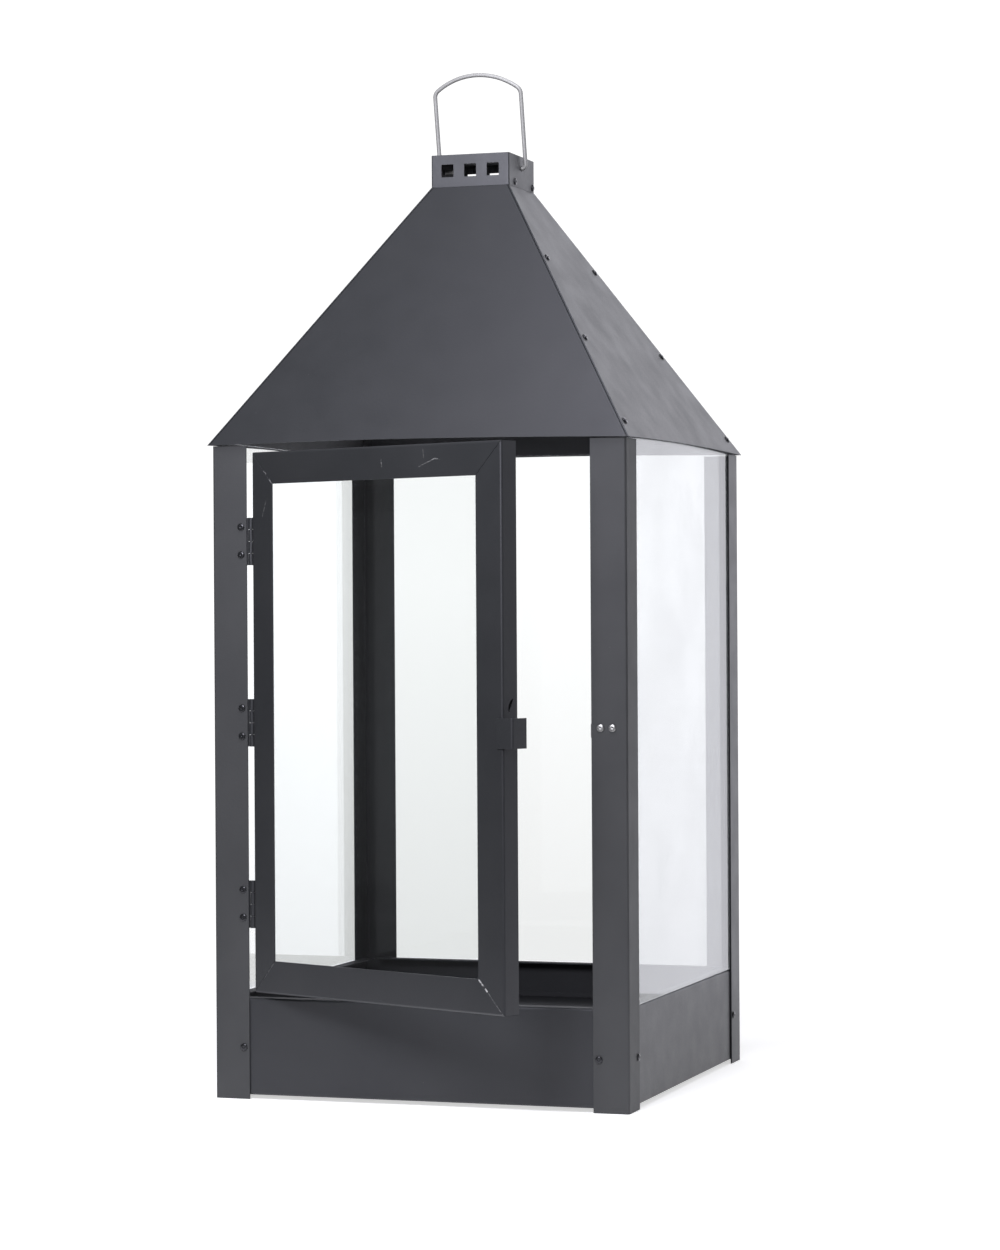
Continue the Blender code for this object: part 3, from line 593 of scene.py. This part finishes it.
def make_world():
    """A pale studio: the camera sees it evenly white, and its light comes in soft lobes."""
    world = bpy.data.worlds.new("studio")
    bpy.context.scene.world = world
    tree = Tree(world)
    way = tree.add("ShaderNodeTexCoord").outputs["Generated"]
    total = SKY_BASE
    for name, (direction, tightness, strength) in SKY.items():
        axis = tuple(Vector(direction).normalized())
        toward = tree.math("MAXIMUM", tree.vector("DOT_PRODUCT", way, axis, output=1), 0.0)
        inputs = {0: tree.math("POWER", toward, tightness), 1: strength, 2: total}
        lobe = tree.add("ShaderNodeMath", inputs, operation="MULTIPLY_ADD", name=f"lobe_{name}")
        total = lobe.outputs[0]
    seen = tree.add("ShaderNodeLightPath").outputs["Is Camera Ray"]
    lit = tree.add("ShaderNodeBackground", {"Color": LIGHT_TINT, "Strength": total})
    plain = tree.add("ShaderNodeBackground", {"Color": grey(1.0), "Strength": BACKGROUND})
    both = tree.add("ShaderNodeMixShader", {0: seen, 1: lit.outputs[0], 2: plain.outputs[0]})
    tree.add("ShaderNodeOutputWorld", {"Surface": both.outputs[0]})


def make_soft_boxes():
    """Square area lights, each aimed at a point of the lantern."""
    for name, (place, aim, size, power) in SOFT_BOXES.items():
        light = bpy.data.lights.new(name, "AREA")
        light.shape = "SQUARE"
        light.size = size
        light.energy = power
        light.color = LIGHT_TINT[:3]
        lamp = bpy.data.objects.new(name, light)
        bpy.context.scene.collection.objects.link(lamp)
        lamp.location = MIDDLE + Vector(place)
        lamp.rotation_euler = (Vector(aim) - Vector(place)).to_track_quat("-Z", "Y").to_euler()


# The floor's front edge is close to the lantern, so that the panes mirror little of it.
FLOOR_GLOW = 0.59                # hides its edge against the background in the photograph's view
FLOOR_SHADE = 0.92
FLOOR_ROUGHNESS = 0.9
FLOOR_HALF_WIDTH = 0.72
FLOOR_HALF_DEPTH = 0.57
FLOOR_BACK = 0.15
FLOOR_BELOW_FEET = 0.0002


def make_floor():
    """A pale matt floor, slightly glowing."""
    build = bmesh.new()
    shape = Matrix.Diagonal((FLOOR_HALF_WIDTH, FLOOR_HALF_DEPTH, 1.0, 1.0))
    bmesh.ops.create_grid(build, x_segments=1, y_segments=1, size=1.0, matrix=shape)
    made = bpy.data.materials.new("studio_floor")
    tree = Tree(made)
    shader = tree.add("ShaderNodeBsdfPrincipled", {
        "Base Color": grey(FLOOR_SHADE), "Roughness": FLOOR_ROUGHNESS, "Specular IOR Level": 0.0,
        "Emission Color": grey(1.0), "Emission Strength": FLOOR_GLOW,
    })
    tree.add("ShaderNodeOutputMaterial", {"Surface": shader.outputs[0]})
    floor = new_object("studio_floor", build, made)
    floor.location = (0, FLOOR_BACK, -FLOOR_BELOW_FEET)


def make_camera():
    """The photograph's view."""
    yaw, pitch, roll = (math.radians(a) for a in (CAMERA_YAW, CAMERA_PITCH, CAMERA_ROLL))
    ahead = Vector((-math.sin(yaw) * math.cos(pitch), math.cos(yaw) * math.cos(pitch), math.sin(pitch)))
    across = Vector((math.cos(yaw), math.sin(yaw), 0.0))
    upward = across.cross(ahead)
    right = across * math.cos(roll) + upward * math.sin(roll)
    up = upward * math.cos(roll) - across * math.sin(roll)
    data = bpy.data.cameras.new("camera")
    data.lens = CAMERA_LENS
    data.sensor_width = CAMERA_SENSOR
    camera = bpy.data.objects.new("camera", data)
    bpy.context.scene.collection.objects.link(camera)
    turned = Matrix((right, up, -ahead)).transposed().to_4x4()
    camera.matrix_world = Matrix.Translation(MIDDLE + CAMERA_FROM_MIDDLE) @ turned
    bpy.context.scene.camera = camera


# The lantern --------------------------------------------------------------------------------------

def dress_lantern():
    """Finishes for the CAD's pieces, then the pieces that take a CAD one's place or are added."""
    coat = powder_coat("powder_coat", COAT_SHADE, COAT_ROUGHNESS)
    door_shaded_worn_coat = powder_coat("powder_coat_door", DOOR_PAINTED_SHADE, COAT_ROUGHNESS, door_marks())
    post_lit_coat = powder_coat("powder_coat_posts_painted_light", POST_PAINTED_LIGHT_SHADE, POST_COAT_ROUGHNESS,
                            ior=POST_COAT_IOR, coolness=POST_COAT_COOLNESS)
    cap_lit_coat = powder_coat("powder_coat_cap_painted_light", CAP_PAINTED_LIGHT_SHADE, COAT_ROUGHNESS)
    painted_shade_coat = powder_coat("powder_coat_inside_painted_shade", INSIDE_PAINTED_SHADE, DARK_COAT_ROUGHNESS)
    rivet_shaded_coat = powder_coat("powder_coat_rivets_painted_shade", RIVET_PAINTED_SHADE, RIVET_COAT_ROUGHNESS)
    wire = bare_metal("galvanised_wire", **WIRE_METAL)
    plated = bare_metal("zinc_plate", **PLATED_METAL)
    door_glass = pane_glass("float_glass", CLEAN_FILM, CLEAR)
    # This copy lets less through towards the foot of the panes.
    glass_dimmed_low = pane_glass("float_glass_dimmed_low", CLEAN_FILM, FOOT_CLARITY)
    dusty_glass = pane_glass("float_glass_dusty", DUSTY_FILM, FOOT_CLARITY)

    for node in NODES:
        if "_rivet_" in node or node == "bail_handle":
            continue
        if node == "pane_right":
            dress(node, dusty_glass, PANE_ROUNDING)
        elif node in ("pane_left", "pane_back"):
            dress(node, glass_dimmed_low, PANE_ROUNDING)
        elif node == "door_glass":
            dress(node, door_glass, PANE_ROUNDING)
        # The floor tray and the glass strips take the darker coat of painted shade.
        elif node == "floor_tray" or node.startswith("glass_strip"):
            dress(node, painted_shade_coat)
        elif node == "catch_spring" or node.endswith("_pin"):
            dress(node, plated, SMALL_ROUNDING)
        # The door takes the slightly darker coat of painted shade, with its worn marks.
        elif node.startswith("door_"):
            dress(node, door_shaded_worn_coat)
        elif node.startswith("skirt_"):
            dress(node, coat, SKIRT_ROUNDING)
        # The front posts take the lighter coat of painted light.
        elif node.startswith("post_front"):
            dress(node, post_lit_coat)
        # The chimney cap takes the lighter coat of painted light.
        elif node == "chimney_cap":
            dress(node, cap_lit_coat)
        else:
            dress(node, coat)
        # Faces that look inwards, and the skirts' lips, take the darker coat of painted shade.
        if node.startswith(("roof_", "post_", "skirt_", "chimney_")):
            shade_inside_faces(node, painted_shade_coat)
    # Rivets of the coat take its darker, glossier copy of painted shade.
    replace_rivets(rivet_shaded_coat, plated)
    add_hinge_rivets(rivet_shaded_coat)
    add_cap_rivets(rivet_shaded_coat)
    make_bail(wire)


make_camera()
make_world()
make_soft_boxes()
make_floor()
dress_lantern()
bpy.context.scene.view_settings.view_transform = "Standard"
